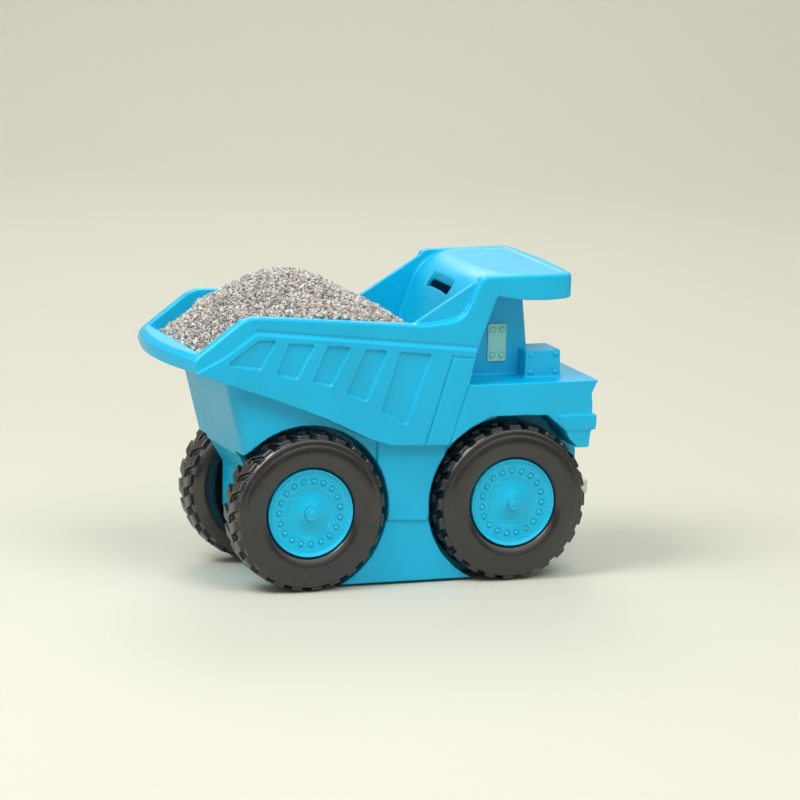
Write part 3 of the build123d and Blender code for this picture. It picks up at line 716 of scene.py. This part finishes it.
def make_plate(side):
    """The riveted plate on the cab: a pillowed sheet with four rivets, each in a dark moat."""
    low, high = [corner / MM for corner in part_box(f"cab_plate_{side}")]
    half_x, half_z = (high.x - low.x) / 2, (high.z - low.z) / 2
    facing = SIDES[side]
    back = low.y if facing > 0 else high.y
    columns = int(2 * PLATE_POINTS_PER_MM * half_x) | 1
    rows = int(2 * PLATE_POINTS_PER_MM * half_z) | 1
    x, z = np.meshgrid(np.linspace(-half_x, half_x, columns), np.linspace(-half_z, half_z, rows),
                       indexing="ij")
    core_x = np.clip(x, PLATE_CORNER_R - half_x, half_x - PLATE_CORNER_R)
    core_z = np.clip(z, PLATE_CORNER_R - half_z, half_z - PLATE_CORNER_R)
    beyond = np.maximum(np.hypot(x - core_x, z - core_z), 1e-9)
    pull = np.minimum(1, PLATE_CORNER_R / beyond)
    x, z = core_x + (x - core_x) * pull, core_z + (z - core_z) * pull
    inset = np.clip(PLATE_CORNER_R - np.hypot(x - core_x, z - core_z), 0, PLATE_EDGE_R)
    rounding = np.sqrt(PLATE_EDGE_R ** 2 - (PLATE_EDGE_R - inset) ** 2)
    height = PLATE_THICKNESS - PLATE_EDGE_R + rounding
    for rivet_x, rivet_z in PLATE_RIVETS:
        away = np.hypot(x - rivet_x, z - rivet_z)
        height += rivet(away, radius=1.35, height=0.5, moat_r=1.7, moat_width=0.3,
                        moat_depth=0.55)
    front = np.stack([x, back + facing * height, z], axis=-1).reshape(-1, 3)
    behind = np.stack([x, np.full_like(x, back), z], axis=-1).reshape(-1, 3)
    row, column = np.meshgrid(np.arange(columns - 1), np.arange(rows - 1), indexing="ij")
    corner = row * rows + column
    quads = np.stack([corner, corner + rows, corner + rows + 1, corner + 1], axis=-1).reshape(-1, 4)
    rim = list(range(rows)) + [i * rows + rows - 1 for i in range(1, columns)]
    rim += [(columns - 1) * rows + j for j in range(rows - 2, -1, -1)]
    rim += [i * rows for i in range(columns - 2, 0, -1)]
    count = columns * rows
    skirt = [(a, b, b + count, a + count) for a, b in zip(rim, rim[1:] + rim[:1])]
    faces = quads.tolist() + (quads[:, ::-1] + count).tolist() + [face[::-1] for face in skirt]
    if facing > 0:
        faces = [face[::-1] for face in faces]
    middle = (low + high) / 2
    vertices = np.vstack([front, behind]) + (middle.x, 0, middle.z)
    plate = new_object(f"plate_{side}", vertices, faces, mint_material)
    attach(plate, "truck")
    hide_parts(f"cab_plate_{side}")


for side in SIDES:
    make_plate(side)
    finish_cad_node(f"headlight_{side}", silver_material)
finish_cad_node("nose_grille", body_material, bevel=0.3)
finish_cad_node("coin_stopper", stopper_material)
for name in ("front_axle", "rear_axle"):
    finish_cad_node(name, steel_material)
for place in WHEEL_ANGLES:
    finish_cad_node(f"axle_bush_{place}", bush_material)


# ------------------------------------------------------------------ studio
TARGET = Vector((19.7, 0.0, 94.2)) * MM
CAMERA_AZIMUTH = -21.0
CAMERA_ELEVATION = 11.0
CAMERA_DISTANCE = 2.9
CAMERA_ROLL = 1.5
LENS = 236.4


def aim(thing, place, target):
    """Puts a camera or lamp at a place, looking at a target."""
    thing.location = place
    thing.rotation_euler = (target - place).to_track_quat("-Z", "Y").to_euler()


def direction(azimuth, elevation):
    """Unit vector towards a place on the sky; azimuth 0 is -Y and 90 is +X."""
    a, e = math.radians(azimuth), math.radians(elevation)
    return Vector((math.sin(a) * math.cos(e), -math.cos(a) * math.cos(e), math.sin(e)))


def make_camera():
    """The photo's view: from the truck's right rear, a little above and rolled."""
    camera = bpy.data.objects.new("camera", bpy.data.cameras.new("camera"))
    bpy.context.scene.collection.objects.link(camera)
    camera.data.lens = LENS
    camera.data.sensor_width = 36.0
    aim(camera, TARGET + direction(CAMERA_AZIMUTH, CAMERA_ELEVATION) * CAMERA_DISTANCE, TARGET)
    roll = Matrix.Rotation(math.radians(CAMERA_ROLL), 4, "Z")
    camera.matrix_world = camera.matrix_basis @ roll
    bpy.context.scene.camera = camera


def area_light(name, azimuth, elevation, distance, size, power, mirrored=True):
    """A round soft light; one that is not mirrored leaves no highlight on glossy surfaces."""
    lamp = bpy.data.lights.new(name, "AREA")
    lamp.shape = "DISK"
    lamp.size = size
    lamp.energy = power
    holder = bpy.data.objects.new(name, lamp)
    bpy.context.scene.collection.objects.link(holder)
    holder.visible_glossy = mirrored
    aim(holder, TARGET + direction(azimuth, elevation) * distance, TARGET)


FLOOR_FRONT = -4.0              # metres, from the truck away from the camera
FLOOR_SIDE = 6.0
SWEEP_START = 1.4
SWEEP_R = 0.7
WALL_TOP = 6.0


def make_backdrop():
    """A pale floor that sweeps up into a wall far behind the truck, seen from the camera.

    A camera behind the wall looks through it.
    """
    profile = [(FLOOR_FRONT, 0.0), (SWEEP_START, 0.0)]
    profile += [(SWEEP_START + SWEEP_R * math.sin(a), SWEEP_R - SWEEP_R * math.cos(a))
                for a in np.linspace(0.05, math.pi / 2, 16)]
    profile.append((SWEEP_START + SWEEP_R, WALL_TOP))
    sides = (-FLOOR_SIDE, FLOOR_SIDE)
    vertices = [(x, depth, height) for depth, height in profile for x in sides]
    faces = [(2 * i, 2 * i + 1, 2 * i + 3, 2 * i + 2) for i in range(len(profile) - 1)]
    made, tree, shader = blank_material("studio_paper")
    clouds = noise_factor(tree, 1.5)
    tree.links.new(mixed(tree, clouds, srgb(200, 199, 184), srgb(208, 207, 193)),
                   shader.inputs["Base Color"])
    shader.inputs["Roughness"].default_value = 0.8
    camera_ray = add_node(tree, "ShaderNodeLightPath").outputs["Is Camera Ray"]
    from_behind = add_node(tree, "ShaderNodeNewGeometry").outputs["Backfacing"]
    hidden = add_node(tree, "ShaderNodeMath", operation="MULTIPLY",
                      links={0: camera_ray, 1: from_behind})
    clear = add_node(tree, "ShaderNodeBsdfTransparent")
    either = add_node(tree, "ShaderNodeMixShader", links={
        0: hidden.outputs[0], 1: shader.outputs[0], 2: clear.outputs[0],
    })
    tree.links.new(either.outputs[0], tree.nodes["Material Output"].inputs["Surface"])
    paper = new_object("studio_floor", np.array(vertices) / MM, faces, made)
    paper.rotation_euler = (0, 0, math.radians(CAMERA_AZIMUTH))


SKY_STRENGTH = 0.44
SKY_COLOUR = (1.0, 0.995, 0.975, 1.0)


def make_world():
    """Even soft light, but dim in mirror reflections of the side the camera is on."""
    world = bpy.data.worlds.new("studio")
    bpy.context.scene.world = world
    world.use_nodes = True
    tree = world.node_tree
    sky = tree.nodes["Background"]
    place = add_node(tree, "ShaderNodeTexCoord")
    parts = add_node(tree, "ShaderNodeSeparateXYZ", links={"Vector": place.outputs["Generated"]})
    behind = spread(tree, parts.outputs["Y"], -0.3, 0.6, 0.12, 1.5)
    overhead = spread(tree, parts.outputs["Z"], 0.15, 0.8, 0.0, 1.5)
    reflected = add_node(tree, "ShaderNodeMath", operation="ADD", links={0: behind, 1: overhead})
    rays = add_node(tree, "ShaderNodeLightPath")
    even, directed = MIX_NUMBERS
    strength = add_node(
        tree, "ShaderNodeMix", data_type="FLOAT", values={even: SKY_STRENGTH},
        links={MIX_FACTOR: rays.outputs["Is Glossy Ray"], directed: reflected.outputs[0]},
    )
    tree.links.new(strength.outputs[0], sky.inputs["Strength"])
    sky.inputs["Color"].default_value = SKY_COLOUR


make_camera()
make_backdrop()
make_world()
area_light("key", azimuth=-72, elevation=54, distance=1.6, size=0.8, power=17)
area_light("fill", azimuth=10, elevation=50, distance=2.2, size=1.4, power=24, mirrored=False)
area_light("rim", azimuth=165, elevation=40, distance=1.8, size=1.0, power=10)
bpy.context.scene.view_settings.view_transform = "Standard"
